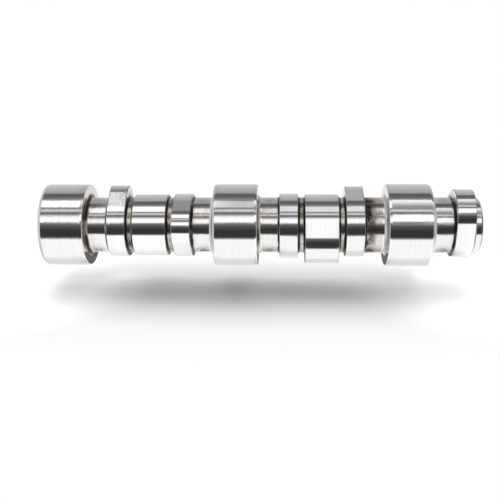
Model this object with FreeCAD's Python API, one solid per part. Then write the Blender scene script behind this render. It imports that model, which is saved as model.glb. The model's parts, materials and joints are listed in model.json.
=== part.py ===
import FreeCAD, Part
import math
import os

# Camshaft of a large in-line diesel engine, turned, forged and ground from one bar of steel.
# Millimetres. X runs along the shaft from the drive end, Z is up, and -Y is the side seen from
# the front. The origin is the centre of the drive end's flat face.
# Each cylinder has a narrow valve lobe, a wide injector lobe and a second narrow valve lobe,
# and stands between two bearing journals. The shaft is pushed into its bearings from the end,
# so every lobe stays a little below the journals.

# Layout along the shaft
journal_width = 42.7
neck_length = 21.5          # plain neck between a journal and the valve lobe beside it
valve_lobe_width = 18.0
injector_lobe_width = 32.8
groove_width = 6.75         # grinding relief between two lobes
stub_length = 8.0           # plain end behind the last lobe

# Diameters, from the journals inwards
journal_radius = 40.5
tunnel_clearance = 1.1      # the tip of each lobe lies this far below the journals
valve_lift = 8.3
injector_lift = 9.0
root_step = 3.0             # the necks lie this far below the injector lobes' base circle

# Nose radii of the lobes
exhaust_nose_radius = 17.5
intake_nose_radius = 19.5
third_intake_nose_radius = 25.0
injector_nose_radius = 23.5

# Edges and fillets
journal_lead_length = 1.8   # shallow ground lead-in at both edges of a journal
journal_lead_drop = 0.5
journal_fillet = 4.5        # root of a journal's shoulder
journal_fillet_tapers = 3   # short tapers that the root is turned in
lobe_fillet = 2.0           # root of a lobe's side
lobe_fillet_tapers = 1
edge_break = 0.5            # bevel round both sides of each lobe and on each journal's corner
stub_chamfer = 1.5

# Drive end: a spigot bore and tapped holes hold the timing gear, and a dowel times it
bolt_count = 6
bolt_edge_distance = 11.5   # from the journal's surface in to the bolt circle
bolt_hole_radius = 4.25     # drilled size of an M10 thread
bolt_hole_depth = 24.0
bolt_drill_tip = 2.4        # height of the cone that the drill leaves
bolt_mouth_chamfer = 0.45
spigot_wall = 8.75          # between the bolt holes and the spigot bore
spigot_depth = 9.0
spigot_mouth_chamfer = 1.2
dowel_radius = 4.0
dowel_depth = 14.0
dowel_mouth_chamfer = 0.5

# Lathe centres in both ends
centre_mouth_radius = 6.6
centre_pilot_radius = 3.15
centre_pilot_depth = 7.0
centre_half_angle = 30.0

# Nose angles about the axis, turned from straight up towards the front
first_exhaust_angle = 1.0
first_injector_angle = -89.0
first_intake_angle = 93.5
second_intake_angle = 224.0
second_injector_angle = 150.0
second_exhaust_angle = -17.0
third_intake_angle = 46.0

# Sizes that follow from those above
lobe_tip_radius = journal_radius - tunnel_clearance
valve_base_radius = lobe_tip_radius - valve_lift
injector_base_radius = lobe_tip_radius - injector_lift
neck_radius = min(valve_base_radius, injector_base_radius) - root_step
lobe_root_fillet = min(lobe_fillet, root_step - edge_break, groove_width / 2)
hub_radius = neck_radius + lobe_root_fillet
bolt_circle_radius = journal_radius - bolt_edge_distance
spigot_radius = bolt_circle_radius - bolt_hole_radius - spigot_wall
centre_cone_depth = (centre_mouth_radius - centre_pilot_radius) / math.tan(math.radians(centre_half_angle))

axis_x = FreeCAD.Vector(1, 0, 0)
overcut = 1.0               # how far a cutting tool stands out of the face that it cuts

EXHAUST = (valve_lobe_width, valve_base_radius, exhaust_nose_radius)
INTAKE = (valve_lobe_width, valve_base_radius, intake_nose_radius)
THIRD_INTAKE = (valve_lobe_width, valve_base_radius, third_intake_nose_radius)
INJECTOR = (injector_lobe_width, injector_base_radius, injector_nose_radius)

# The lobes of each cylinder in order, each with its nose angle. The last has only its first lobe.
cylinders = [
    [(EXHAUST, first_exhaust_angle), (INJECTOR, first_injector_angle), (INTAKE, first_intake_angle)],
    [(INTAKE, second_intake_angle), (INJECTOR, second_injector_angle), (EXHAUST, second_exhaust_angle)],
    [(THIRD_INTAKE, third_intake_angle)],
]


def lay_out():
    """Stations along the shaft: journals, lobes and the low stretches between them."""
    stations = []
    x = 0.0
    for number, lobes in enumerate(cylinders):
        stations.append(("journal", x, x + journal_width, None))
        x += journal_width
        stations.append(("low", x, x + neck_length, None))
        x += neck_length
        for place, (shape, nose_angle) in enumerate(lobes):
            if place > 0:
                stations.append(("low", x, x + groove_width, None))
                x += groove_width
            width = shape[0]
            stations.append(("lobe", x, x + width, (shape, nose_angle)))
            x += width
        if number < len(cylinders) - 1:
            stations.append(("low", x, x + neck_length, None))
            x += neck_length
    stations.append(("stub", x, x + stub_length, None))
    return stations


def half_section_point(x, r):
    return FreeCAD.Vector(x, 0, r)


def root_fillet(neighbour):
    """Radius of the fillet against a neighbour's side, and the number of tapers it is turned in."""
    if neighbour == "journal":
        return journal_fillet, journal_fillet_tapers
    return lobe_root_fillet, lobe_fillet_tapers


def fillet_points(wall_x, neighbour, side):
    """Points of the fillet from the wall down to the neck: side is 1 where the neck lies to the right."""
    radius, tapers = root_fillet(neighbour)
    points = []
    for step in range(tapers + 1):
        turn = math.radians(90.0 * step / tapers)
        points.append((wall_x + side * radius * (1 - math.cos(turn)), neck_radius + radius * (1 - math.sin(turn))))
    return points


def turned_core(stations):
    """The shaft as it leaves the lathe: journals, necks and grooves, with a hub under each lobe."""
    edges = []
    pen = half_section_point(stations[0][1], 0)
    first = pen

    def line_to(x, r):
        nonlocal pen
        target = half_section_point(x, r)
        if pen.distanceToPoint(target) > 1e-6:
            edges.append(Part.makeLine(pen, target))
            pen = target

    for index, (kind, start, end, _) in enumerate(stations):
        if kind == "journal":
            lead_radius = journal_radius - journal_lead_drop
            line_to(start, lead_radius - edge_break)
            line_to(start + edge_break, lead_radius)
            line_to(start + edge_break + journal_lead_length, journal_radius)
            line_to(end - edge_break - journal_lead_length, journal_radius)
            line_to(end - edge_break, lead_radius)
            line_to(end, lead_radius - edge_break)
        elif kind == "lobe":
            line_to(start, hub_radius)
            line_to(end, hub_radius)
        else:
            for x, r in fillet_points(start, stations[index - 1][0], 1):
                line_to(x, r)
            if kind == "low":
                for x, r in reversed(fillet_points(end, stations[index + 1][0], -1)):
                    line_to(x, r)
            else:
                line_to(end - stub_chamfer, neck_radius)
                line_to(end, neck_radius - stub_chamfer)
                line_to(end, 0)
    edges.append(Part.makeLine(pen, first))
    outline = Part.Face(Part.Wire(edges))
    return outline.revolve(FreeCAD.Vector(0, 0, 0), axis_x, 360)


def around(angle, radius):
    """Point at an angle turned from straight up towards the front, at a radius from the axis."""
    turn = math.radians(angle)
    return FreeCAD.Vector(0, -radius * math.sin(turn), radius * math.cos(turn))


def cam_lobe(start, width, base_radius, nose_radius, nose_angle):
    """Tangent cam for a roller follower: base circle, two straight flanks and a round nose."""
    nose_distance = lobe_tip_radius - nose_radius
    flank_turn = math.degrees(math.acos((base_radius - nose_radius) / nose_distance))
    nose_centre = around(nose_angle, nose_distance)

    def on_base(turn):
        return around(nose_angle + turn, base_radius)

    def on_nose(turn):
        return nose_centre + around(nose_angle + turn, nose_radius)

    outline = Part.Wire([
        Part.Arc(on_base(flank_turn), on_base(180), on_base(-flank_turn)).toShape(),
        Part.makeLine(on_base(-flank_turn), on_nose(-flank_turn)),
        Part.Arc(on_nose(-flank_turn), on_nose(0), on_nose(flank_turn)).toShape(),
        Part.makeLine(on_nose(flank_turn), on_base(flank_turn)),
    ])
    lobe = Part.Face(outline).extrude(axis_x * width)
    rims = [edge for edge in lobe.Edges if edge.BoundBox.XLength < edge_break]
    lobe = lobe.makeChamfer(edge_break, rims)
    lobe.translate(axis_x * start)
    return lobe


def drilled(mouth, direction, radius, depth, mouth_chamfer):
    """A round hole with a bevelled mouth, as the solid that cuts it."""
    hole = Part.makeCylinder(radius, depth + overcut, mouth - direction * overcut, direction)
    bevel = Part.makeCone(radius + mouth_chamfer + overcut, radius, mouth_chamfer + overcut,
                          mouth - direction * overcut, direction)
    return hole.fuse(bevel)


def lathe_centre(mouth, direction):
    """The 60 degree centre that the shaft is turned and ground between."""
    cone_slope = math.tan(math.radians(centre_half_angle))
    cone = Part.makeCone(centre_mouth_radius + overcut * cone_slope, centre_pilot_radius,
                         centre_cone_depth + overcut, mouth - direction * overcut, direction)
    pilot = Part.makeCylinder(centre_pilot_radius, centre_cone_depth + centre_pilot_depth, mouth, direction)
    return cone.fuse(pilot)


def drive_end_cuts():
    """Spigot bore, lathe centre, tapped holes and dowel hole in the drive end's face."""
    face_centre = FreeCAD.Vector(0, 0, 0)
    cuts = [drilled(face_centre, axis_x, spigot_radius, spigot_depth, spigot_mouth_chamfer)]
    cuts.append(lathe_centre(axis_x * spigot_depth, axis_x))
    step = 360.0 / bolt_count
    for number in range(bolt_count):
        mouth = around(number * step, bolt_circle_radius)
        cuts.append(drilled(mouth, axis_x, bolt_hole_radius, bolt_hole_depth, bolt_mouth_chamfer))
        cuts.append(Part.makeCone(bolt_hole_radius, 0, bolt_drill_tip, mouth + axis_x * bolt_hole_depth, axis_x))
    dowel_mouth = around(step / 2, bolt_circle_radius)
    cuts.append(drilled(dowel_mouth, axis_x, dowel_radius, dowel_depth, dowel_mouth_chamfer))
    return cuts


def camshaft():
    stations = lay_out()
    shaft = turned_core(stations)
    lobes = []
    for kind, start, end, lobe in stations:
        if kind == "lobe":
            (width, base_radius, nose_radius), nose_angle = lobe
            lobes.append(cam_lobe(start, width, base_radius, nose_radius, nose_angle))
    shaft = shaft.fuse(lobes)
    rear_face = stations[-1][2]
    cuts = drive_end_cuts()
    cuts.append(lathe_centre(axis_x * rear_face, axis_x * -1))
    return shaft.cut(cuts)


os.makedirs("parts", exist_ok=True)
shaft = camshaft()
solid = shaft.Solids[0] if len(shaft.Solids) == 1 else shaft
box = solid.BoundBox
print("camshaft: solids", len(shaft.Solids), "valid", solid.isValid(), "faces", len(solid.Faces))
print("length %.2f  height %.2f  volume %.0f" % (box.XLength, box.ZLength, solid.Volume))
solid.exportStep("parts/camshaft.step")
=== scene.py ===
import json
import math

import bmesh
import bpy
from bpy.props import FloatProperty, FloatVectorProperty, IntProperty, PointerProperty
from mathutils import Matrix, Vector


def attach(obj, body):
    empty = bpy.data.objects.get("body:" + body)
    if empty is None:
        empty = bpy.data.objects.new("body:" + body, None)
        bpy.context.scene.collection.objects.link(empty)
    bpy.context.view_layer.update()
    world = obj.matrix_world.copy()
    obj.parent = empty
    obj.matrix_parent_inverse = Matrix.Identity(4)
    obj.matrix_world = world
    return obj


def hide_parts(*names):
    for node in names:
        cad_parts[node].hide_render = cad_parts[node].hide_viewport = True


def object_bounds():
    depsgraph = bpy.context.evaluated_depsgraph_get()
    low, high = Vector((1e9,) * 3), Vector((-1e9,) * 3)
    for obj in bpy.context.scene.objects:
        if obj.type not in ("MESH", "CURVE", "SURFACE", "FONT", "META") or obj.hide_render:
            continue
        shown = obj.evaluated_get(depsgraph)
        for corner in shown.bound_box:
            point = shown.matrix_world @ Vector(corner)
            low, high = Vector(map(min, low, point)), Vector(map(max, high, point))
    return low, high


bl_info = {
    "name": "Diesel camshaft",
    "version": (1, 0, 0),
    "blender": (4, 5, 0),
    "location": "View3D > Sidebar > Camshaft",
    "description": "Ground and polished camshaft of an in-line diesel engine, with its stage",
    "category": "Add Mesh",
}

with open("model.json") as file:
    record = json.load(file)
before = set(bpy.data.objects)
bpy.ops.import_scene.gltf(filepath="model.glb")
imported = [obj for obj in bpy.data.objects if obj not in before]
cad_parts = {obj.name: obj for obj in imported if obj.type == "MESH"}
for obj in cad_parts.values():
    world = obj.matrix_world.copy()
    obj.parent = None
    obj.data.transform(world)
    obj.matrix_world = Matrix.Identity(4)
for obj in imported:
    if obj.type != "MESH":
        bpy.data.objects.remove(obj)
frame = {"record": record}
CAD_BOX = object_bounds()
MOUNTS = {mount["name"]: mount for mount in frame["record"]["mounts"]}

MM = 0.001


def radius_of(mount):
    return MOUNTS[mount]["dims"]["r_mm"] * MM


def colour_from_hex(code):
    """sRGB hex code to the linear colour that shaders and lamps take."""
    channels = [int(code[i:i + 2], 16) / 255 for i in (1, 3, 5)]
    return [c / 12.92 if c <= 0.04045 else ((c + 0.055) / 1.055) ** 2.4 for c in channels]


def number(name, description, value, **limits):
    return FloatProperty(name=name, description=description, default=value, **limits)


def length(name, description, millimetres):
    return number(name, description, millimetres * MM, min=0.0, unit="LENGTH", precision=5)


def turn(name, description, degrees):
    return number(name, description, math.radians(degrees), unit="ROTATION")


def colour(name, description, code):
    return FloatVectorProperty(name=name, description=description, subtype="COLOR", size=3,
                               min=0.0, max=1.0, default=colour_from_hex(code))


class ShaftSizes(bpy.types.PropertyGroup):
    """Sizes along and across the shaft"""
    journal_width: length("Journal width", "Width of each bearing journal", 42.7)
    neck_length: length("Neck length", "Plain neck between a journal and a valve lobe", 21.5)
    valve_lobe_width: length("Valve lobe width", "Width of the narrow lobes", 18.0)
    injector_lobe_width: length("Injector lobe width", "Width of the wide lobes", 32.8)
    groove_width: length("Groove width", "Grinding relief between two lobes", 6.75)
    stub_length: length("Stub length", "Plain end behind the last lobe", 8.0)
    tunnel_clearance: length("Tunnel clearance", "How far lobe tips lie below the journals", 1.1)
    valve_lift: length("Valve lift", "Rise of the valve lobes", 8.3)
    injector_lift: length("Injector lift", "Rise of the injector lobes", 9.0)
    root_step: length("Root step", "Depth of the necks below the injector base circle", 3.0)
    exhaust_nose: length("Exhaust nose radius", "Nose radius of the first and sixth lobes", 17.5)
    intake_nose: length("Intake nose radius", "Nose radius of the third and fourth lobes", 19.5)
    third_intake_nose: length("Third intake nose radius", "Nose radius of the last lobe", 25.0)
    injector_nose: length("Injector nose radius", "Nose radius of the wide lobes", 23.5)
    lead_length: length("Lead-in length", "Shallow ground lead-in at a journal's edge", 1.8)
    lead_drop: length("Lead-in drop", "Depth of that lead-in", 0.5)
    journal_fillet: length("Journal fillet", "Root radius beside a journal", 4.5)
    lobe_fillet: length("Lobe fillet", "Root radius beside a lobe", 2.0)
    edge_break: length("Edge break", "Rounded-off edge of lobes and journals", 0.5)
    stub_chamfer: length("Stub chamfer", "Bevel of the plain end", 1.5)
    ring_segments: IntProperty(name="Ring segments", default=200, min=24,
                               description="Corners in one ring of the skin")


class NoseAngles(bpy.types.PropertyGroup):
    """Nose angles about the axis, turned from straight up towards the front"""
    first_exhaust: turn("First exhaust", "First valve lobe of the first cylinder", 1.0)
    first_injector: turn("First injector", "Wide lobe of the first cylinder", -89.0)
    first_intake: turn("First intake", "Second valve lobe of the first cylinder", 93.5)
    second_intake: turn("Second intake", "First valve lobe of the second cylinder", 224.0)
    second_injector: turn("Second injector", "Wide lobe of the second cylinder", 150.0)
    second_exhaust: turn("Second exhaust", "Second valve lobe of the second cylinder", -17.0)
    third_intake: turn("Third intake", "First valve lobe of the third cylinder", 46.0)


class DriveEndSizes(bpy.types.PropertyGroup):
    """Holes in the drive end, and the lathe centres of both ends"""
    bolt_depth: length("Bolt hole depth", "Depth of the tapped holes", 24.0)
    bolt_mouth: length("Bolt hole mouth", "Bevel at the mouth of the tapped holes", 0.45)
    bolt_tip: length("Drill tip", "Height of the cone at the bottom of a tapped hole", 2.4)
    thread_pitch: length("Thread pitch", "Pitch of the M10 thread", 1.5)
    thread_depth: length("Thread depth", "Depth that the thread is cut into the wall", 0.75)
    spigot_depth: length("Spigot depth", "Depth of the bore that centres the gear", 9.0)
    spigot_mouth: length("Spigot mouth", "Bevel at the mouth of that bore", 1.2)
    dowel_depth: length("Dowel depth", "Depth of the dowel hole", 14.0)
    dowel_mouth: length("Dowel mouth", "Bevel at the mouth of the dowel hole", 0.5)
    centre_mouth: length("Centre mouth radius", "Wide end of the lathe centre's cone", 6.6)
    centre_pilot: length("Centre pilot radius", "Small drilling below the cone", 3.15)
    centre_pilot_depth: length("Centre pilot depth", "Depth of that drilling", 7.0)
    hole_segments: IntProperty(name="Hole segments", default=36, min=12,
                               description="Corners in one ring of a bolt hole")


class SteelColours(bpy.types.PropertyGroup):
    """Colours of the steel, of what the making left on it, and of the painted shade in its fillets
    and on its edges
    """
    ground: colour("Ground steel", "Journals and lobes, ground and polished", "#EDEDED")
    turned: colour("Turned steel", "Necks and grooves, turned and brushed", "#E6E5E4")
    side: colour("Faced steel", "Flat sides, faced on the lathe", "#E0E0DF")
    straw_skin: colour("Straw skin", "Thin straw-coloured skin left in the fillets", "#C9C2BA")
    # Dark brown of the thick heat skin, also laid on as painted shade in the fillets' corners and
    # on the lobes' edges
    brown_skin_and_shade: colour("Brown skin", "Thick brown skin in the corners", "#39322E")


class StageSettings(bpy.types.PropertyGroup):
    """Camera, floor and light"""
    camera_distance: length("Camera distance", "From the camera to the shaft's axis", 757.0)
    camera_aim: length("Camera aim", "Point of the axis that the camera faces", 202.6)
    camera_yaw: turn("Camera yaw", "How far the camera stands round towards the rear end", 2.7)
    camera_rise: turn("Camera rise", "How far the camera stands above the axis", 1.5)
    lens: number("Lens", "Focal length on a 36 mm sensor", 54.5, min=1.0,
                 subtype="DISTANCE_CAMERA")
    frame_shift: number("Frame shift", "Upward place of the shaft in the picture", -0.0504)
    floor_size: length("Floor size", "Side of the square floor", 6000.0)
    paper_level: number("Paper level", "Height of the paper right under the shaft", -65.6 * MM,
                        unit="LENGTH", precision=5)
    slope_width: length("Slope width", "Stretch under the shaft where the paper slopes", 250.0)
    slope_drop: length("Slope drop", "How far the paper falls over that stretch", 38.0)
    overhead_power: number("Overhead power", "Strength of the wide light overhead", 1.58, min=0.0)
    overhead_angle: turn("Overhead angle", "Width of the light overhead", 56.0)
    overhead_lean: turn("Overhead lean", "How far the light overhead leans behind the shaft", 15.0)
    dome_strength: number("Dome strength", "Brightness of the room on the paper", 0.85, min=0.0)
    fill_reach: length("Fill reach", "How far fill lamps stand before or behind the shaft", 300.0)
    fill_height: length("Fill height", "Height of the fill lamps over the shaft's axis", 75.0)
    fill_outset: length("Fill outset", "How far past the drive end the left fill lamps stand", 12.0)
    fill_inset: length("Fill inset", "How far in from the rear end the right ones stand", 4.0)
    fill_spread: turn("Fill spread", "Width of a fill lamp's beam", 36.0)
    front_fill: number("Front fill", "Power of a fill lamp before the shaft", 2.8, min=0.0,
                       unit="POWER")
    back_fill: number("Back fill", "Power of a fill lamp behind the shaft", 1.0, min=0.0,
                      unit="POWER")
    right_share: number("Right share", "How much stronger the right fill lamps are", 1.2, min=0.0)
    backdrop: colour("Backdrop", "Floor and backdrop of the studio", "#FFFFFF")


class CamshaftSettings(bpy.types.PropertyGroup):
    """All settings of the camshaft scene"""
    sizes: PointerProperty(type=ShaftSizes, name="Sizes", description="Sizes of the shaft")
    noses: PointerProperty(type=NoseAngles, name="Noses", description="Nose angles of the lobes")
    drive_end: PointerProperty(type=DriveEndSizes, name="Drive end",
                               description="Holes in the ends")
    colours: PointerProperty(type=SteelColours, name="Colours", description="Colours of the steel")
    stage: PointerProperty(type=StageSettings, name="Stage", description="Camera, floor and light")


# Materials of the skin, in the order of its material slots
GROUND_JOURNAL, GROUND_LOBE, TURNED_NECK, FACED_SIDE, DRILLED = range(5)

SKIN_AND_SHADE = "root_skin_and_shade"           # vertex attribute: how thick the heat skin is, and how deep the painted shade is, from 1 on dark brown
FRAY = "fray"                # vertex attribute: how much hand polishing waved the surface, 0 to 1
HOLD = 0.25 * MM             # ring this close to each corner keeps long surfaces flat in shading
SHARP_ANGLE = math.radians(40)
MERGE_DISTANCE = 1e-6
QUARTER_TURN = math.radians(90)
FILLET_STEPS = 7
CORNER_STEPS = 3

BODY_REACH = 6.0 * MM        # from a fillet's foot to where the plain middle of a neck starts
NECK_FRAY, ROOT_FRAY = 1.0, 0.25
EDGE_SHADE = 0.6              # painted shade on the rounded edges of the lobes, laid on in the skin's colours
JOURNAL_ROOT_SKIN_AND_SHADE = 0.25     # share of a fillet's skin and painted shade left on the journal's side right above it
# Heat skin and painted shade across a fillet by its share from the wall to the neck: it rises from
# the wall to a full band, the painted shade of the corner, and falls off again, sooner beside a
# journal than beside a lobe
WALL_SKIN_AND_SHADE, SKIN_AND_SHADE_RISE, SKIN_AND_SHADE_FALL = 0.05, 2.6, 1.9
JOURNAL_SKIN_AND_SHADE_END, LOBE_SKIN_AND_SHADE_END = 1.8, 2.3
# Rings of a flat side by their share of its height, and how much of the fillet's skin and painted
# shade each keeps
JOURNAL_WALL = [(0.03, 0.2), (0.25, 0.05), (0.7, 0.0), (0.97, 0.0)]
LOBE_WALL = [(0.03, 0.8), (0.3, 0.3), (0.7, 0.0), (0.97, 0.0)]
# Heat skin of each low stretch along the shaft, with the painted shade that darkens its fillets and
# grooves: left fillet, beside it, left and right part of its middle, beside the right fillet, right
# fillet. The last is the stub, which has a left fillet only.
LOW_STRETCH_SKIN_AND_SHADE = [
    (1.4, 0.2, 0.1, 0.1, 0.1, 0.9),
    (1.9, 0.75, 0.75, 0.75, 0.75, 1.2),
    (1.9, 0.76, 0.7, 0.7, 0.7, 1.0),
    (1.5, 0.3, 0.02, 0.02, 0.05, 0.15),
    (0.9, 0.15, 0.03, 0.03, 0.12, 1.2),
    (1.9, 0.76, 0.6, 0.6, 0.6, 1.5),
    (1.6, 0.64, 0.48, 0.48, 0.57, 1.9),
    (1.8, 1.0, 0.82, 0.33, 0.25, 0.4),
    (0.15, 0.05, 0.02, 0.02, 0.2, 1.5),
    (0.4, 0.0, 0.0, 0.0, 0.0, 0.0),
]
# How far hand polishing waved the ground surface of each journal and lobe, along the shaft
LAND_FRAYS = [0.8, 0.6, 0.15, 0.4, 0.35, 0.25, 0.12, 0.25, 0.45, 0.3]

LEAD_RINGS = (0.1, 0.9)      # rings of a journal's lead-in by their share of its length
STUB_BEVEL_RINGS = (0.0, 0.08, 0.92, 1.0)
CENTRE_HALF_ANGLE = math.radians(30)
CENTRE_EDGE = 0.04           # share of a lathe centre's cone where a ring keeps its mouth sharp
FLOOR_RING = 0.5             # ring on the flat floor of a hole, as a share of its radius
DRILL_CONE_RING = 0.6        # ring on the cone that the drill left, as a share of its height
THREAD_STEPS = 5             # rings of the skin in one turn of the thread
THREAD_CREST = 0.999         # share of the thread's full depth that the tap reached


def round_section(radius):
    return lambda angle: radius


def cam_section(base, nose, tip, nose_angle, inset=0.0):
    """Radius of a tangent cam by angle: base circle, straight flanks and a round nose."""
    nose_distance = tip - nose
    flank_turn = math.acos((base - nose) / nose_distance)
    nose_turn = math.atan2(nose * math.sin(flank_turn),
                           nose_distance + nose * math.cos(flank_turn))

    def radius(angle):
        away = abs(math.remainder(angle - nose_angle, math.tau))
        if away >= flank_turn:
            return base - inset
        if away >= nose_turn:
            return base / math.cos(away - flank_turn) - inset
        across = nose_distance * math.sin(away)
        return nose_distance * math.cos(away) + math.sqrt(nose * nose - across * across) - inset

    return radius


def blend_sections(inner, outer, share):
    return lambda angle: inner(angle) * (1 - share) + outer(angle) * share


class ShaftSkin:
    """Closed skin of the shaft, grown ring by ring from a first circle of edges."""

    def __init__(self):
        self.bm = bmesh.new()
        self.skin = self.bm.verts.layers.float.new(SKIN_AND_SHADE)
        self.fray = self.bm.verts.layers.float.new(FRAY)

    def circle(self, x, centre, radius, segments):
        upright = Matrix.Translation((x, *centre)) @ Matrix.Rotation(QUARTER_TURN, 4, "Y")
        made = bmesh.ops.create_circle(self.bm, cap_ends=False, radius=radius, segments=segments,
                                       matrix=upright)
        return list(dict.fromkeys(edge for vert in made["verts"] for edge in vert.link_edges))

    def extrude(self, rim, x, section, material, centre=(0.0, 0.0), skin=0.0, fray=0.0):
        """Extrudes a rim of edges to a new ring at x, shaped by a radius for each angle."""
        grown = bmesh.ops.extrude_edge_only(self.bm, edges=rim)["geom"]
        ring = {item for item in grown if isinstance(item, bmesh.types.BMVert)}
        for vert in ring:
            angle = math.atan2(centre[0] - vert.co.y, vert.co.z - centre[1])
            radius = section(angle)
            vert.co = (x, centre[0] - radius * math.sin(angle),
                       centre[1] + radius * math.cos(angle))
            vert[self.skin] = skin
            vert[self.fray] = fray
        for item in grown:
            if isinstance(item, bmesh.types.BMFace):
                item.material_index = material
                item.smooth = True
        return [item for item in grown
                if isinstance(item, bmesh.types.BMEdge) and ring.issuperset(item.verts)]

    def join(self, other):
        """Takes in another skin; their shared rims are merged when the piece is finished."""
        carrier = bpy.data.meshes.new("carrier")
        other.bm.to_mesh(carrier)
        other.bm.free()
        self.bm.from_mesh(carrier)
        bpy.data.meshes.remove(carrier)

    def close(self, rim, x, centre=(0.0, 0.0)):
        """Draws a rim together into one point."""
        verts = list(dict.fromkeys(vert for edge in rim for vert in edge.verts))
        bmesh.ops.pointmerge(self.bm, verts=verts, merge_co=(x, *centre))

    def finish(self, name, materials):
        bmesh.ops.remove_doubles(self.bm, verts=self.bm.verts, dist=MERGE_DISTANCE)
        bmesh.ops.recalc_face_normals(self.bm, faces=self.bm.faces)
        for edge in self.bm.edges:
            edge.smooth = edge.calc_face_angle(0.0) < SHARP_ANGLE
        mesh = bpy.data.meshes.new(name)
        self.bm.to_mesh(mesh)
        self.bm.free()
        for material in materials:
            mesh.materials.append(material)
        piece = bpy.data.objects.new(name, mesh)
        bpy.context.collection.objects.link(piece)
        return piece


def outline_of_shaft(sizes, noses):
    """Rings of the shaft from the drive face to the rear face, as (x, section, material, skin,
    fray), where skin is the amount of heat skin and painted shade, and the place of the rear face."""
    journal = radius_of("journal_1")
    lead = journal - sizes.lead_drop
    tip = journal - sizes.tunnel_clearance
    valve_base = tip - sizes.valve_lift
    injector_base = tip - sizes.injector_lift
    neck = min(valve_base, injector_base) - sizes.root_step

    exhaust = (sizes.valve_lobe_width, valve_base, sizes.exhaust_nose)
    intake = (sizes.valve_lobe_width, valve_base, sizes.intake_nose)
    third_intake = (sizes.valve_lobe_width, valve_base, sizes.third_intake_nose)
    injector = (sizes.injector_lobe_width, injector_base, sizes.injector_nose)
    cylinders = [
        [(exhaust, noses.first_exhaust), (injector, noses.first_injector),
         (intake, noses.first_intake)],
        [(intake, noses.second_intake), (injector, noses.second_injector),
         (exhaust, noses.second_exhaust)],
        [(third_intake, noses.third_intake)],
    ]

    rings = []

    def ring(x, section, material, skin=0.0, fray=0.0):
        rings.append((x, section, material, skin, fray))

    def fillet(x, side, radius, shade_and_skin):
        """Rings of a root fillet from its wall to the neck: side is 1 where the neck lies right."""
        made = []
        skin_shade_end = JOURNAL_SKIN_AND_SHADE_END if radius > sizes.lobe_fillet else LOBE_SKIN_AND_SHADE_END
        for step in range(FILLET_STEPS + 1):
            share = step / FILLET_STEPS
            angle = QUARTER_TURN * share
            # Painted shade: the band rises steeply from the wall to its darkest over the fillet's
            # inner part, where the corner lies in shade, and falls off towards the neck
            band = min(1.0, WALL_SKIN_AND_SHADE + SKIN_AND_SHADE_RISE * share, skin_shade_end - SKIN_AND_SHADE_FALL * share)
            made.append((x + side * radius * (1 - math.cos(angle)),
                         round_section(neck + radius * (1 - math.sin(angle))), TURNED_NECK,
                         shade_and_skin * max(0.0, band), ROOT_FRAY))
        return made

    def low_stretch(start, width, left_radius, right_radius, shades_and_skins):
        """Neck or groove between two walls, with what is left of the heat skin on it and the
        painted shade in its fillets.
        """
        end = start + width
        left_shade_and_skin, beside_left, left_body, right_body, beside_right, right_shade_and_skin = shades_and_skins
        rings.extend(fillet(start, 1, left_radius, left_shade_and_skin)[1:])
        left, right = start + left_radius, end - right_radius
        reach = min(BODY_REACH, (right - left) / 3)
        hold = min(HOLD, reach / 2)
        for x, skin, fray in (
            (left + hold, beside_left, ROOT_FRAY),
            (left + reach, left_body, NECK_FRAY),
            (right - reach, right_body, NECK_FRAY),
            (right - hold, beside_right, ROOT_FRAY),
        ):
            ring(x, round_section(neck), TURNED_NECK, skin, fray)
        rings.extend(reversed(fillet(end, -1, right_radius, right_shade_and_skin)))
        return end

    def wall(x, low, high_section, shade_and_skin, steps):
        """Flat side between a fillet's top and the rounded edge of a journal or lobe, keeping a
        share of the fillet's heat skin and painted shade near its foot.
        """
        for share, left in steps:
            ring(x, blend_sections(round_section(low), high_section, share), FACED_SIDE,
                 shade_and_skin * left)

    def rounded_edge(x, side, section_at, material, skin, fray):
        """Rings of an edge from its wall to the ground surface: side is 1 where that lies right."""
        made = []
        for step in range(CORNER_STEPS + 1):
            angle = QUARTER_TURN * step / CORNER_STEPS
            made.append((x + side * sizes.edge_break * (1 - math.cos(angle)),
                         section_at(sizes.edge_break * (1 - math.sin(angle))),
                         material, skin, fray))
        return made

    def journal_edge(x, side, fray):
        """Rings of a journal from its wall, over edge and lead-in, to the ground surface."""
        made = rounded_edge(x, side, lambda inset: round_section(lead - inset),
                            GROUND_JOURNAL, 0.0, fray)
        for share in LEAD_RINGS:
            made.append((x + side * (sizes.edge_break + sizes.lead_length * share),
                         round_section(lead + sizes.lead_drop * share),
                         GROUND_JOURNAL, 0.0, fray))
        for holds in (1, 2):
            made.append((x + side * (sizes.edge_break + sizes.lead_length + holds * HOLD),
                         round_section(journal), GROUND_JOURNAL, 0.0, fray))
        return made

    def journal_land(start, left_shade_and_skin, right_shade_and_skin, fray):
        end = start + sizes.journal_width
        low = neck + sizes.journal_fillet
        high_section = round_section(lead - sizes.edge_break)
        if left_shade_and_skin is not None:
            wall(start, low, high_section, left_shade_and_skin, JOURNAL_WALL)
        rings.extend(journal_edge(start, 1, fray))
        rings.extend(reversed(journal_edge(end, -1, fray)))
        wall(end, low, high_section, right_shade_and_skin, reversed(JOURNAL_WALL))
        # Painted shade and heat skin at the foot of the journal's right side, above the fillet
        ring(end, round_section(low), FACED_SIDE, right_shade_and_skin * JOURNAL_ROOT_SKIN_AND_SHADE)
        return end

    def lobe_land(start, shape, nose_angle, left_shade_and_skin, right_shade_and_skin, fray):
        width, base, nose = shape
        end = start + width
        low = neck + sizes.lobe_fillet

        def section_at(inset):
            return cam_section(base, nose, tip, nose_angle, inset)

        high_section = section_at(sizes.edge_break)
        wall(start, low, high_section, left_shade_and_skin, LOBE_WALL)
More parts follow.
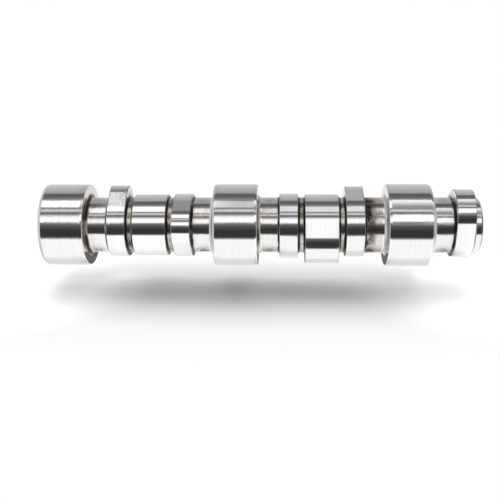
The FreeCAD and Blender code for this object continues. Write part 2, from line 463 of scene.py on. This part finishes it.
        # Painted shade: both rounded edges of the lobe are darkened with the skin's colours into
        # thin dark lines
        rings.extend(rounded_edge(start, 1, section_at, FACED_SIDE, EDGE_SHADE, fray))
        for x in (start + sizes.edge_break + HOLD, end - sizes.edge_break - HOLD):
            ring(x, section_at(0.0), GROUND_LOBE, 0.0, fray)
        rings.extend(reversed(rounded_edge(end, -1, section_at, FACED_SIDE, EDGE_SHADE, fray)))
        wall(end, low, high_section, right_shade_and_skin, reversed(LOBE_WALL))
        # Foot of the lobe's right side: the fillet's full heat skin and painted shade
        ring(end, round_section(low), FACED_SIDE, right_shade_and_skin)
        return end

    # Heat skin and painted shade of each low stretch, and polishing waves of each land
    shades_and_skins, frays = iter(LOW_STRETCH_SKIN_AND_SHADE), iter(LAND_FRAYS)
    journal_fillet, lobe_fillet = sizes.journal_fillet, sizes.lobe_fillet
    x = 0.0
    left = None
    for number, lobes in enumerate(cylinders):
        shade_and_skin = next(shades_and_skins)
        x = journal_land(x, left, shade_and_skin[0], next(frays))
        x = low_stretch(x, sizes.neck_length, journal_fillet, lobe_fillet, shade_and_skin)
        left = shade_and_skin[-1]
        for place, (shape, nose_angle) in enumerate(lobes):
            shade_and_skin = next(shades_and_skins)
            x = lobe_land(x, shape, nose_angle, left, shade_and_skin[0], next(frays))
            left = shade_and_skin[-1]
            if place < len(lobes) - 1:
                x = low_stretch(x, sizes.groove_width, lobe_fillet, lobe_fillet, shade_and_skin)
            elif number < len(cylinders) - 1:
                x = low_stretch(x, sizes.neck_length, lobe_fillet, journal_fillet, shade_and_skin)
    rings.extend(fillet(x, 1, lobe_fillet, shade_and_skin[0])[1:])
    end = x + sizes.stub_length
    for away in (HOLD, sizes.stub_length - lobe_fillet - sizes.stub_chamfer - HOLD):
        ring(x + lobe_fillet + away, round_section(neck), TURNED_NECK, 0.0, NECK_FRAY)
    for share in STUB_BEVEL_RINGS:
        ring(end - sizes.stub_chamfer * (1 - share),
             round_section(neck - sizes.stub_chamfer * share), TURNED_NECK)
    return rings, end


def cut_lathe_centre(shaft, rim, x, inward, drive_end):
    """60 degree centre with its small drilling, from a rim in a flat face."""
    mouth, pilot = drive_end.centre_mouth, drive_end.centre_pilot
    cone_depth = (mouth - pilot) / math.tan(CENTRE_HALF_ANGLE)
    floor = cone_depth + drive_end.centre_pilot_depth
    for radius in (mouth + HOLD, mouth):
        rim = shaft.extrude(rim, x, round_section(radius), FACED_SIDE)
    for depth, radius in (
        (cone_depth * CENTRE_EDGE, mouth - (mouth - pilot) * CENTRE_EDGE),
        (cone_depth, pilot),
        (cone_depth + HOLD, pilot),
        (floor - HOLD, pilot),
        (floor, pilot),
        (floor, pilot * FLOOR_RING),
    ):
        rim = shaft.extrude(rim, x + inward * depth, round_section(radius), DRILLED)
    shaft.close(rim, x + inward * floor)


def cut_tapped_hole(shaft, mouth, centre, drive_end):
    """M10 hole: bevelled mouth, helical thread in its wall and the cone that the drill left."""
    hole = ShaftSkin()
    rim = hole.circle(0.0, centre, mouth, drive_end.hole_segments)
    drilled = MOUNTS["gear_bolts"]["dims"]["hole_r_mm"] * MM
    pitch, floor = drive_end.thread_pitch, drive_end.bolt_depth
    step = pitch / THREAD_STEPS
    first, last = drive_end.bolt_mouth + step, floor - 2 * pitch

    def thread(depth):
        fade = max(0.0, min(1.0, (depth - first) / step, (last - depth) / step))
        crest = fade * drive_end.thread_depth * THREAD_CREST

        def section(angle):
            phase = (depth / pitch + angle / math.tau) % 1.0
            return drilled + crest * (1 - abs(2 * phase - 1))

        return section

    rim = hole.extrude(rim, drive_end.bolt_mouth, round_section(drilled), DRILLED, centre)
    for number in range(int((last - first) / step) + 1):
        depth = first + number * step
        rim = hole.extrude(rim, depth, thread(depth), DRILLED, centre)
    for depth, share in (
        (floor - HOLD, 1.0),
        (floor, 1.0),
        (floor + drive_end.bolt_tip * DRILL_CONE_RING, 1 - DRILL_CONE_RING),
    ):
        rim = hole.extrude(rim, depth, round_section(drilled * share), DRILLED, centre)
    hole.close(rim, floor + drive_end.bolt_tip, centre)
    shaft.join(hole)


def cut_dowel_hole(shaft, rim, centre, drive_end):
    bevel, floor, radius = drive_end.dowel_mouth, drive_end.dowel_depth, radius_of("gear_dowel")
    for depth, share in ((bevel, 1.0), (bevel + HOLD, 1.0), (floor - HOLD, 1.0), (floor, 1.0),
                         (floor, FLOOR_RING)):
        rim = shaft.extrude(rim, depth, round_section(radius * share), DRILLED, centre)
    shaft.close(rim, floor, centre)


def cut_spigot(shaft, rim, drive_end):
    bevel, floor, radius = drive_end.spigot_mouth, drive_end.spigot_depth, radius_of("gear_spigot")
    for depth, size in (
        (bevel, radius),
        (bevel + HOLD, radius),
        (floor - HOLD, radius),
        (floor, radius),
        (floor, radius - HOLD),
        (floor, drive_end.centre_mouth + 2 * HOLD),
    ):
        rim = shaft.extrude(rim, depth, round_section(size), FACED_SIDE)
    cut_lathe_centre(shaft, rim, floor, 1, drive_end)


def close_drive_face(shaft, outer_rim, sizes, drive_end):
    """Flat drive face with its holes: all mouths lie in one plane, and the steel between them is
    filled."""
    bolts = MOUNTS["gear_bolts"]["dims"]
    circle_radius = bolts["pcd_mm"] / 2 * MM
    mouth = bolts["hole_r_mm"] * MM + drive_end.bolt_mouth
    holes = []
    for number in range(bolts["count"]):
        angle = math.tau * number / bolts["count"]
        centre = (-circle_radius * math.sin(angle), circle_radius * math.cos(angle))
        holes.append((centre, shaft.circle(0.0, centre, mouth, drive_end.hole_segments)))
    dowel_centre = MOUNTS["gear_dowel"]["pos_m"][1:]
    dowel_rim = shaft.circle(0.0, dowel_centre, radius_of("gear_dowel") + drive_end.dowel_mouth,
                             drive_end.hole_segments)
    spigot_rim = shaft.circle(0.0, (0.0, 0.0), radius_of("gear_spigot") + drive_end.spigot_mouth,
                              sizes.ring_segments // 2)
    mouths = outer_rim + spigot_rim + dowel_rim + [edge for _, rim in holes for edge in rim]
    filled = bmesh.ops.triangle_fill(shaft.bm, use_beauty=True, use_dissolve=False, edges=mouths,
                                     normal=(-1.0, 0.0, 0.0))["geom"]
    for item in filled:
        if isinstance(item, bmesh.types.BMFace):
            item.material_index = FACED_SIDE
    for centre, _ in holes:
        cut_tapped_hole(shaft, mouth, centre, drive_end)
    cut_dowel_hole(shaft, dowel_rim, dowel_centre, drive_end)
    cut_spigot(shaft, spigot_rim, drive_end)


# The two inputs of a Mix node that mixes colours
MIX_A, MIX_B = 6, 7

# Sizes of the marks on the surfaces, along the shaft and round it. Real grinding lines and brush
# grain are under 0.1 mm; these are drawn as coarse as they need to be to show in the picture.
SKIN_CLOUDS = (7.0 * MM, 11.0 * MM)
GRINDING_LINES = (1.0 * MM, 90 * MM)
BEARING_WAVES = (2.0 * MM, 2.2 * MM)
CAM_WAVES = (2.2 * MM, 2.2 * MM)
NECK_WAVES = (3.0 * MM, 2.4 * MM)
BRUSH_GRAIN = (0.9 * MM, 0.9 * MM)
FACING_MOTTLE = (2.0 * MM, 2.0 * MM)
PAPER_FIBRES = (1.5 * MM, 1.5 * MM)
FACING_STEP = 0.8 * MM       # between the rings that the facing tool left
FACING_DEPTH = 0.012 * MM
GROUND_GRAIN, TURNED_GRAIN = 0.002 * MM, 0.003 * MM

# Amounts of heat skin and painted shade between which the steel turns straw, and then brown
STRAW_FADE = {"From Min": 0.08, "From Max": 0.4}
BROWN_SKIN_AND_SHADE_FADE = {"From Min": 0.4, "From Max": 0.95}
LINE_SHADE, MOTTLE_SHADE = 0.94, 0.6     # darkest marks, as a share of the steel's colour
PAPER_SHADE = 0.76                       # light that the paper gives back, as a share


def with_alpha(rgb, shade=1.0):
    """Colour for a shader's socket, as it is or darkened to a share of itself."""
    return (*(channel * shade for channel in rgb), 1.0)


def add_node(tree, kind, inputs=None, stops=(), **settings):
    """Adds a node with its settings and links. Each input takes a value, another node's socket, or
    another node for its first output in use. A colour ramp takes stops of (share, hex colour)."""
    node = tree.nodes.new(kind)
    for name, value in settings.items():
        setattr(node, name, value)
    for name, value in (inputs or {}).items():
        if isinstance(value, bpy.types.Node):
            value = next(socket for socket in value.outputs if socket.enabled)
        if isinstance(value, bpy.types.NodeSocket):
            tree.links.new(value, node.inputs[name])
        else:
            node.inputs[name].default_value = value
    if stops:
        elements = node.color_ramp.elements
        while len(elements) < len(stops):
            elements.new(0.5)
        for element, (position, code) in zip(elements, stops):
            element.position = position
            element.color = with_alpha(colour_from_hex(code))
    return node


def new_material(name):
    material = bpy.data.materials.new(name)
    material.use_nodes = True
    material.node_tree.nodes.clear()
    return material, material.node_tree


def stretched_noise(tree, place, size, detail=3.0, roughness=0.55):
    """Noise whose marks have one size along the shaft and another round it, in metres."""
    along, around = size
    mapping = add_node(tree, "ShaderNodeMapping",
                       {"Vector": place, "Scale": (1 / along, 1 / around, 1 / around)})
    return add_node(tree, "ShaderNodeTexNoise",
                    {"Vector": mapping, "Scale": 1.0, "Detail": detail, "Roughness": roughness})


def skinned_and_shaded_steel(tree, place, steel, colours):
    """Steel with the heat skin over it where the making left it, and with painted shade in the
    corners of the fillets and grooves and on the lobes' edges: straw where the amount is low and
    dark brown where it is high, broken up into clouds."""
    skin = add_node(tree, "ShaderNodeAttribute", attribute_name=SKIN_AND_SHADE, attribute_type="GEOMETRY")
    clouds = add_node(tree, "ShaderNodeMapRange",
                      {"Value": stretched_noise(tree, place, SKIN_CLOUDS, detail=2.5),
                       "From Min": 0.35, "From Max": 0.65, "To Min": 0.55, "To Max": 1.25})
    amount = add_node(tree, "ShaderNodeMath", {0: skin.outputs["Fac"], 1: clouds},
                      operation="MULTIPLY")
    tinted = with_alpha(steel)
    for fade, tint in ((STRAW_FADE, colours.straw_skin), (BROWN_SKIN_AND_SHADE_FADE, colours.brown_skin_and_shade)):
        cover = add_node(tree, "ShaderNodeMapRange", {"Value": amount, **fade})
        tinted = add_node(tree, "ShaderNodeMix",
                          {"Factor": cover, MIX_A: tinted, MIX_B: with_alpha(tint)},
                          data_type="RGBA")
    return tinted, amount


def grinding_marks(tree, place, steel):
    """Steel colour with the lines that the wheel drew round the shaft."""
    lines = stretched_noise(tree, place, GRINDING_LINES, detail=4.0, roughness=0.7)
    dull = add_node(tree, "ShaderNodeMapRange", {"Value": lines, "From Min": 0.35, "From Max": 0.7})
    tinted = add_node(tree, "ShaderNodeMix",
                      {"Factor": dull, MIX_A: with_alpha(steel),
                       MIX_B: with_alpha(steel, LINE_SHADE)},
                      data_type="RGBA")
    return tinted, lines


def waved_normal(tree, place, waves, wave_depth, grain_depth):
    """Slight waves left by hand polishing, as deep as the fray attribute says, with a fine
    grain."""
    fray = add_node(tree, "ShaderNodeAttribute", attribute_name=FRAY, attribute_type="GEOMETRY")
    waved = add_node(tree, "ShaderNodeMath",
                     {0: stretched_noise(tree, place, waves, detail=2.5, roughness=0.6),
                      1: fray.outputs["Fac"]}, operation="MULTIPLY")
    bump = add_node(tree, "ShaderNodeBump",
                    {"Strength": 1.0, "Distance": wave_depth, "Height": waved})
    return add_node(tree, "ShaderNodeBump",
                    {"Strength": 1.0, "Distance": grain_depth, "Normal": bump,
                     "Height": stretched_noise(tree, place, BRUSH_GRAIN, detail=1.0)})


def ground_steel(name, steel, roughness, waves, wave_depth):
    """Ground and polished bearing steel: mirror bright, drawn with fine lines by the wheel, and
    the edges of every reflection frayed by hand polishing."""
    material, tree = new_material(name)
    place = add_node(tree, "ShaderNodeTexCoord").outputs["Object"]
    tinted, lines = grinding_marks(tree, place, steel)
    rough = add_node(tree, "ShaderNodeMapRange",
                     {"Value": lines, "From Min": 0.3, "From Max": 0.7,
                      "To Min": roughness * 0.7, "To Max": roughness * 1.4})
    shader = add_node(tree, "ShaderNodeBsdfPrincipled",
                      {"Base Color": tinted, "Metallic": 1.0, "Roughness": rough,
                       "Normal": waved_normal(tree, place, waves, wave_depth, GROUND_GRAIN)})
    add_node(tree, "ShaderNodeOutputMaterial", {"Surface": shader})
    return material


def turned_steel(name, steel, colours, roughness, waves, wave_depth):
    """Turned and brushed steel of the necks and grooves: bright, waved by the tool, with the
    straw-brown skin of the hardening left in the fillets and the painted shade in their corners,
    which dull it."""
    material, tree = new_material(name)
    place = add_node(tree, "ShaderNodeTexCoord").outputs["Object"]
    tinted, skin = skinned_and_shaded_steel(tree, place, steel, colours)
    rough = add_node(tree, "ShaderNodeMapRange",
                     {"Value": skin, "To Min": roughness, "To Max": roughness + 0.25})
    shader = add_node(tree, "ShaderNodeBsdfPrincipled",
                      {"Base Color": tinted, "Metallic": 1.0, "Roughness": rough,
                       "Normal": waved_normal(tree, place, waves, wave_depth, TURNED_GRAIN)})
    add_node(tree, "ShaderNodeOutputMaterial", {"Surface": shader})
    return material


def faced_steel(name, steel, colours, roughness):
    """Flat sides faced on the lathe: rings round the axis and a mottled, slightly dull face."""
    material, tree = new_material(name)
    place = add_node(tree, "ShaderNodeTexCoord").outputs["Object"]
    # Heat skin, and painted shade at the foot of the sides and on the lobes' rounded edges
    tinted, _ = skinned_and_shaded_steel(tree, place, steel, colours)
    across = add_node(tree, "ShaderNodeVectorMath", {0: place, 1: (0.0, 1.0, 1.0)},
                      operation="MULTIPLY")
    radius = add_node(tree, "ShaderNodeVectorMath", {0: across}, operation="LENGTH")
    rings = add_node(tree, "ShaderNodeTexNoise",
                     {"W": radius, "Scale": 1 / FACING_STEP, "Detail": 2.0},
                     noise_dimensions="1D")
    mottle = stretched_noise(tree, place, FACING_MOTTLE)
    height = add_node(tree, "ShaderNodeMath", {0: rings, 1: mottle}, operation="ADD")
    bump = add_node(tree, "ShaderNodeBump",
                    {"Strength": 1.0, "Distance": FACING_DEPTH, "Height": height})
    dull = add_node(tree, "ShaderNodeMapRange",
                    {"Value": mottle, "From Min": 0.35, "From Max": 0.65, "To Max": 0.45})
    mottled = add_node(tree, "ShaderNodeMix",
                       {"Factor": dull, MIX_A: tinted, MIX_B: with_alpha(steel, MOTTLE_SHADE)},
                       data_type="RGBA")
    shader = add_node(tree, "ShaderNodeBsdfPrincipled",
                      {"Base Color": mottled, "Metallic": 1.0, "Roughness": roughness,
                       "Normal": bump})
    add_node(tree, "ShaderNodeOutputMaterial", {"Surface": shader})
    return material


def steel_materials(colours):
    """The finishes of the shaft, in the order of its material slots."""
    ground, turned, side = colours.ground, colours.turned, colours.side
    return [
        ground_steel("ground_bearing_steel", ground, 0.05, BEARING_WAVES, 0.07 * MM),
        ground_steel("ground_cam_steel", ground, 0.05, CAM_WAVES, 0.08 * MM),
        turned_steel("turned_neck_steel", turned, colours, 0.07, NECK_WAVES, 0.07 * MM),
        faced_steel("faced_side_steel", side, colours, 0.06),
        faced_steel("drilled_hole_steel", side, colours, 0.3),
    ]


class CAMSHAFT_OT_shaft(bpy.types.Operator):
    """Build the camshaft as one closed skin and finish its surfaces"""
    bl_idname = "camshaft.shaft"
    bl_label = "Camshaft"

    def execute(self, context):
        settings = context.scene.camshaft
        sizes, drive_end = settings.sizes, settings.drive_end
        rings, rear = outline_of_shaft(sizes, settings.noses)
        shaft = ShaftSkin()
        first_x, first_section = rings[0][:2]
        outer_rim = shaft.circle(first_x, (0.0, 0.0), first_section(0.0), sizes.ring_segments)
        rim = outer_rim
        for x, section, material, skin, fray in rings[1:]:
            rim = shaft.extrude(rim, x, section, material, skin=skin, fray=fray)
        cut_lathe_centre(shaft, rim, rear, -1, drive_end)
        close_drive_face(shaft, outer_rim, sizes, drive_end)
        piece = shaft.finish("camshaft_steel", steel_materials(settings.colours))
        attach(piece, "root")
        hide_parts("camshaft")
        return {"FINISHED"}


# Brightness of the studio as the steel sees it, by angle about the shaft: 0 degrees is straight
# behind the shaft, 90 above it, 180 at the camera and 270 below it. Each entry is a stop of grey.
STUDIO_STRIPS = [
    (-12, "#D0D0D0"), (-8, "#6C6C6C"), (0.1, "#626262"), (0.6, "#ECECEC"), (2.4, "#D2D2D2"),
    (58, "#B2B2B2"), (74, "#A4A4A4"), (79, "#8C8C8C"), (83, "#585858"), (94, "#606060"),
    (102, "#808080"), (106, "#A0A0A0"), (109, "#E0E0E0"), (127, "#E0E0E0"), (130, "#8A8A8A"),
    (134, "#8A8A8A"), (138, "#E0E0E0"), (145, "#5C5C5C"), (150, "#808080"), (156, "#E8E8E8"),
    (160, "#FFFFFF"), (170.5, "#FFFFFF"), (174, "#808080"), (180, "#606060"), (185, "#4C4C4C"),
    (196, "#343434"), (213, "#343434"), (218, "#8C8C8C"), (221, "#F8F8F8"), (282, "#F8F8F8"),
    (292, "#E4E4E4"), (306, "#DADADA"),
]
STRIPS_START = -12
# Stretches of the shaft that see cards of their own, as four leans of a reflection along the shaft
# between which a card fades in, is whole and fades out
FIRST_CYLINDER = (-2.0, -1.9, -0.13, -0.08)
FIRST_LOBES = (-0.25, -0.24, -0.12, -0.11)
FIRST_LOBE = (-0.236, -0.233, -0.213, -0.209)
SECOND_JOURNAL = (-0.1, -0.07, -0.038, -0.03)
SECOND_INJECTOR = (0.016, 0.022, 0.073, 0.079)
THIRD_CYLINDER = (0.11, 0.13, 1.9, 2.0)
LAST_LOBE = (0.222, 0.226, 1.9, 2.0)
# Cards that hang before the strips. Each has its leans along the shaft, four angles about it
# between which it fades in, is whole and fades out, and a grey.
STUDIO_CARDS = [
    (FIRST_CYLINDER, (105.5, 108.5, 127, 130), "#FFFFFF"),
    (FIRST_LOBE, (76, 80, 96, 101), "#929292"),
    (FIRST_LOBE, (100, 103, 106, 109), "#FFFFFF"),
    (SECOND_JOURNAL, (103, 105, 108, 111), "#808080"),
    (SECOND_JOURNAL, (109, 112, 126, 129), "#C4C4C4"),
    (THIRD_CYLINDER, (103, 106, 111, 129), "#F4F4F4"),
    (THIRD_CYLINDER, (110, 127, 128, 131), "#8C8C8C"),
    (THIRD_CYLINDER, (147, 152, 161, 163), "#FFFFFF"),
    (THIRD_CYLINDER, (168, 171, 178, 181), "#808080"),
    (SECOND_INJECTOR, (170, 171, 174.5, 176.5), "#FFFFFF"),
    (SECOND_INJECTOR, (210, 213, 222, 229), "#3A3A3A"),
    (FIRST_LOBES, (218, 222, 270, 345), "#FFFFFF"),
    (LAST_LOBE, (218, 222, 320, 346), "#FFFFFF"),
]
# Every neck sees the same cards at its own leans: grey behind, a thin white line towards the camera
# and the dark under the shaft
NECK_LEANS = [
    (-0.256, -0.252, -0.238, -0.234),
    (-0.12, -0.117, -0.099, -0.095),
    (-0.036, -0.032, -0.012, -0.009),
    (0.105, 0.108, 0.126, 0.13),
    (0.192, 0.195, 0.21, 0.214),
]
NECK_CARDS = [
    ((15, 52, 76, 84), "#8C8C8C"),
    ((168, 169, 174, 178), "#F4F4F4"),
    ((262, 310, 322, 332), "#707070"),
]

# Pale walls beyond the ends of the strips, by how far a reflection leans along the shaft. Leans
# count from a little left of straight across, and for less towards the rear end.
END_WALLS = [(0.3, "#ACACAC"), (0.6, "#C6C6C6"), (0.9, "#DEDEDE"), (1.0, "#F0F0F0")]
END_WALL_FADE = {"From Min": 0.28, "From Max": 0.48}
LEAN_OFFSET = 0.05
REAR_LEAN, DRIVE_LEAN = 0.6, -1.0
# Behind the shaft these walls are plain: darker at its level, and paler above and below
BACK_FADE = {"From Min": -0.1, "From Max": 0.2}
BACK_LEVELS = {"From Min": 0.15, "From Max": 0.4}
BACK_DARK, BACK_PALE = "#5A5A5A", "#C8C8C8"
STEEL_LIGHT = 1.2            # strength of the studio as the steel sees it


def turn_share(degrees):
    """An angle about the shaft as its share of a turn from where the strips start."""
    return (degrees - STRIPS_START) / 360


def lit_strips(tree, along, share):
    """What polished steel sees round the shaft: the strips, and the cards that hang before them."""
    seen = add_node(tree, "ShaderNodeValToRGB", {"Fac": share},
                    stops=[(turn_share(degrees), code) for degrees, code in STUDIO_STRIPS])
    neck_cards = [(leans, angles, code) for leans in NECK_LEANS for angles, code in NECK_CARDS]
    for leans, angles, code in STUDIO_CARDS + neck_cards:
        cover = 1.0
        for value, stops in ((along, leans), (share, [turn_share(angle) for angle in angles])):
            for outer, inner in (stops[:2], stops[:1:-1]):
                fade = add_node(tree, "ShaderNodeMapRange",
                                {"Value": value, "From Min": outer, "From Max": inner})
                cover = add_node(tree, "ShaderNodeMath", {0: cover, 1: fade},
                                 operation="MULTIPLY")
        seen = add_node(tree, "ShaderNodeMix",
                        {"Factor": cover, MIX_A: seen, MIX_B: with_alpha(colour_from_hex(code))},
                        data_type="RGBA")
    return seen


def end_walls(tree, parts, lean):
    """What polished steel sees beyond the ends of the strips."""
    behind = add_node(tree, "ShaderNodeMapRange", {"Value": parts["Y"], **BACK_FADE})
    height = add_node(tree, "ShaderNodeMath", {0: parts["Z"]}, operation="ABSOLUTE")
    level = add_node(tree, "ShaderNodeMapRange", {"Value": height, **BACK_LEVELS})
    back = add_node(tree, "ShaderNodeMix",
                    {"Factor": level, MIX_A: with_alpha(colour_from_hex(BACK_DARK)),
                     MIX_B: with_alpha(colour_from_hex(BACK_PALE))}, data_type="RGBA")
    front = add_node(tree, "ShaderNodeValToRGB", {"Fac": lean}, stops=END_WALLS)
    return add_node(tree, "ShaderNodeMix", {"Factor": behind, MIX_A: front, MIX_B: back},
                    data_type="RGBA")


def studio_world(backdrop, dome_strength):
    """White studio: the camera and the floor see plain white, and polished steel sees the strips
    of light and shade that hang along the shaft, with pale walls beyond both ends."""
    world = bpy.data.worlds.new("studio")
    world.use_nodes = True
    tree = world.node_tree
    tree.nodes.clear()
    direction = add_node(tree, "ShaderNodeTexCoord").outputs["Generated"]
    parts = add_node(tree, "ShaderNodeSeparateXYZ", {"Vector": direction}).outputs
    share = add_node(tree, "ShaderNodeMath", {0: parts["Z"], 1: parts["Y"]}, operation="ARCTAN2")
    for operation, amount in (("SUBTRACT", math.radians(STRIPS_START)), ("DIVIDE", math.tau),
                              ("FLOORED_MODULO", 1.0)):
        share = add_node(tree, "ShaderNodeMath", {0: share, 1: amount}, operation=operation)
    past = add_node(tree, "ShaderNodeMath", {0: parts["X"], 1: LEAN_OFFSET}, operation="ADD")
    to_rear, to_drive = (add_node(tree, "ShaderNodeMath", {0: past, 1: amount},
                                  operation="MULTIPLY") for amount in (REAR_LEAN, DRIVE_LEAN))
    lean = add_node(tree, "ShaderNodeMath", {0: to_rear, 1: to_drive}, operation="MAXIMUM")
    beyond = add_node(tree, "ShaderNodeMapRange", {"Value": lean, **END_WALL_FADE},
                      interpolation_type="SMOOTHSTEP")
    seen = add_node(tree, "ShaderNodeMix",
                    {"Factor": beyond, MIX_A: lit_strips(tree, parts["X"], share),
                     MIX_B: end_walls(tree, parts, lean)}, data_type="RGBA")
    path = add_node(tree, "ShaderNodeLightPath")
    # The paper takes no light by way of the steel, so its shadow stays deep under the shaft
    off_paper = add_node(tree, "ShaderNodeMapRange",
                         {"Value": path.outputs["Diffuse Depth"], "To Min": STEEL_LIGHT,
                          "To Max": 0.0})
    steel_light = add_node(tree, "ShaderNodeBackground", {"Color": seen, "Strength": off_paper})
    dome = add_node(tree, "ShaderNodeMapRange",
                    {"Value": path.outputs["Is Camera Ray"], "To Min": dome_strength})
    plain_light = add_node(tree, "ShaderNodeBackground",
                           {"Color": with_alpha(backdrop), "Strength": dome})
    mix = add_node(tree, "ShaderNodeMixShader",
                   {"Fac": path.outputs["Is Glossy Ray"], 1: plain_light, 2: steel_light})
    add_node(tree, "ShaderNodeOutputWorld", {"Surface": mix})
    bpy.context.scene.world = world


def paper_material(backdrop):
    """White seamless paper: matt, so it only takes the light and the shadow."""
    material, tree = new_material("seamless_paper")
    place = add_node(tree, "ShaderNodeTexCoord").outputs["Object"]
    bump = add_node(tree, "ShaderNodeBump",
                    {"Strength": 0.2, "Distance": 0.01 * MM,
                     "Height": stretched_noise(tree, place, PAPER_FIBRES)})
    diffuse = add_node(tree, "ShaderNodeBsdfDiffuse",
                       {"Color": with_alpha(backdrop, PAPER_SHADE), "Normal": bump})
    add_node(tree, "ShaderNodeOutputMaterial", {"Surface": diffuse})
    return material


SLOPE_STEPS = 24
FLAT_PAPER = 1.5             # where the paper is surely flat again, in halves of its slope
FILL_RADIUS = 40.0 * MM
FILL_BLEND = 0.7             # share of a fill lamp's beam over which its edge fades
SENSOR_WIDTH = 36.0          # in millimetres, as the camera takes it
NEAREST_SEEN = 10.0 * MM


def lay_paper(stage):
    """Seamless paper that slopes to the camera right under the shaft."""
    centre_y = (CAD_BOX[0][1] + CAD_BOX[1][1]) / 2
    far, step_half = stage.floor_size / 2, stage.slope_width / 2
    slope = [step_half * (1 - 2 * share / SLOPE_STEPS) for share in range(SLOPE_STEPS + 1)]
    profile = [far, step_half * FLAT_PAPER] + slope + [-step_half * FLAT_PAPER, -far]

    def level(y):
        lean = max(-1.0, min(1.0, y / step_half))
        return stage.paper_level + stage.slope_drop / 2 * math.sin(lean * QUARTER_TURN)

    bm = bmesh.new()
    ends = [bm.verts.new((x, centre_y + far, level(far))) for x in (-far, far)]
    rim = [bm.edges.new(ends)]
    for y in profile[1:]:
        grown = bmesh.ops.extrude_edge_only(bm, edges=rim)["geom"]
        ring = {item for item in grown if isinstance(item, bmesh.types.BMVert)}
        for vert in ring:
            vert.co.y, vert.co.z = centre_y + y, level(y)
        rim = [item for item in grown
               if isinstance(item, bmesh.types.BMEdge) and ring.issuperset(item.verts)]
    bmesh.ops.recalc_face_normals(bm, faces=bm.faces)
    if bm.faces[:][0].normal.z < 0:
        bmesh.ops.reverse_faces(bm, faces=bm.faces)
    for face in bm.faces:
        face.smooth = True
    mesh = bpy.data.meshes.new("floor")
    bm.to_mesh(mesh)
    bm.free()
    mesh.materials.append(paper_material(stage.backdrop))
    floor = bpy.data.objects.new("floor", mesh)
    bpy.context.collection.objects.link(floor)
    floor.visible_glossy = False


def add_lamp(kind, name, place, **settings):
    """A lamp that lights the paper but makes no highlight of its own on the steel."""
    data = bpy.data.lights.new(name, kind)
    for setting, value in settings.items():
        setattr(data, setting, value)
    lamp = bpy.data.objects.new(name, data)
    lamp.location = place
    lamp.visible_glossy = False
    bpy.context.collection.objects.link(lamp)
    return lamp


def hang_lamps(stage):
    """A wide light overhead, and two fill lamps at each end of the shaft, because its ends shade
    the paper less than its middle does."""
    overhead = add_lamp("SUN", "overhead_light", (0.0, 0.0, 1.0), energy=stage.overhead_power,
                        angle=stage.overhead_angle)
    overhead.rotation_euler = (-stage.overhead_lean, 0.0, 0.0)
    for end, x, share in (("left", -stage.fill_outset, 1.0),
                          ("right", CAD_BOX[1][0] - stage.fill_inset, stage.right_share)):
        for side, y, power in (("front", -stage.fill_reach, stage.front_fill),
                               ("back", stage.fill_reach, stage.back_fill)):
            fill = add_lamp("SPOT", end + "_" + side + "_fill", (x, y, stage.fill_height),
                            energy=power * share, spot_size=stage.fill_spread,
                            spot_blend=FILL_BLEND, shadow_soft_size=FILL_RADIUS)
            aim = Vector((x, 0.0, stage.paper_level)) - fill.location
            fill.rotation_euler = aim.to_track_quat("-Z", "Y").to_euler()


def place_camera(scene, stage):
    data = bpy.data.cameras.new("camera")
    data.lens = stage.lens
    data.sensor_width = SENSOR_WIDTH
    data.shift_y = stage.frame_shift
    data.clip_start = NEAREST_SEEN
    camera = bpy.data.objects.new("camera", data)
    level = math.cos(stage.camera_rise)
    back = Vector((math.sin(stage.camera_yaw) * level, -math.cos(stage.camera_yaw) * level,
                   math.sin(stage.camera_rise)))
    camera.location = Vector((stage.camera_aim, 0.0, 0.0)) + back * stage.camera_distance
    camera.rotation_euler = back.to_track_quat("Z", "Y").to_euler()
    bpy.context.collection.objects.link(camera)
    scene.camera = camera


class CAMSHAFT_OT_stage(bpy.types.Operator):
    """Set up the white floor, the studio light and the camera"""
    bl_idname = "camshaft.stage"
    bl_label = "Stage"

    def execute(self, context):
        scene = context.scene
        stage = scene.camshaft.stage
        lay_paper(stage)
        studio_world(stage.backdrop, stage.dome_strength)
        hang_lamps(stage)
        place_camera(scene, stage)
        scene.view_settings.view_transform = "Standard"
        return {"FINISHED"}


class CAMSHAFT_PT_panel(bpy.types.Panel):
    """Sidebar panel of the camshaft scene"""
    bl_label = "Camshaft"
    bl_idname = "CAMSHAFT_PT_panel"
    bl_space_type = "VIEW_3D"
    bl_region_type = "UI"
    bl_category = "Camshaft"

    def draw(self, context):
        settings = context.scene.camshaft
        layout = self.layout
        for group in (settings.sizes, settings.noses, settings.drive_end, settings.colours,
                      settings.stage):
            box = layout.box()
            for name in group.__annotations__:
                box.prop(group, name)
        layout.operator(CAMSHAFT_OT_shaft.bl_idname)
        layout.operator(CAMSHAFT_OT_stage.bl_idname)


CLASSES = (
    ShaftSizes,
    NoseAngles,
    DriveEndSizes,
    SteelColours,
    StageSettings,
    CamshaftSettings,
    CAMSHAFT_OT_shaft,
    CAMSHAFT_OT_stage,
    CAMSHAFT_PT_panel,
)


def register():
    for cls in CLASSES:
        bpy.utils.register_class(cls)
    bpy.types.Scene.camshaft = PointerProperty(type=CamshaftSettings)


def unregister():
    del bpy.types.Scene.camshaft
    for cls in reversed(CLASSES):
        bpy.utils.unregister_class(cls)


def main():
    register()
    bpy.ops.camshaft.stage()
    bpy.ops.camshaft.shaft()


if __name__ == "__main__":
    main()
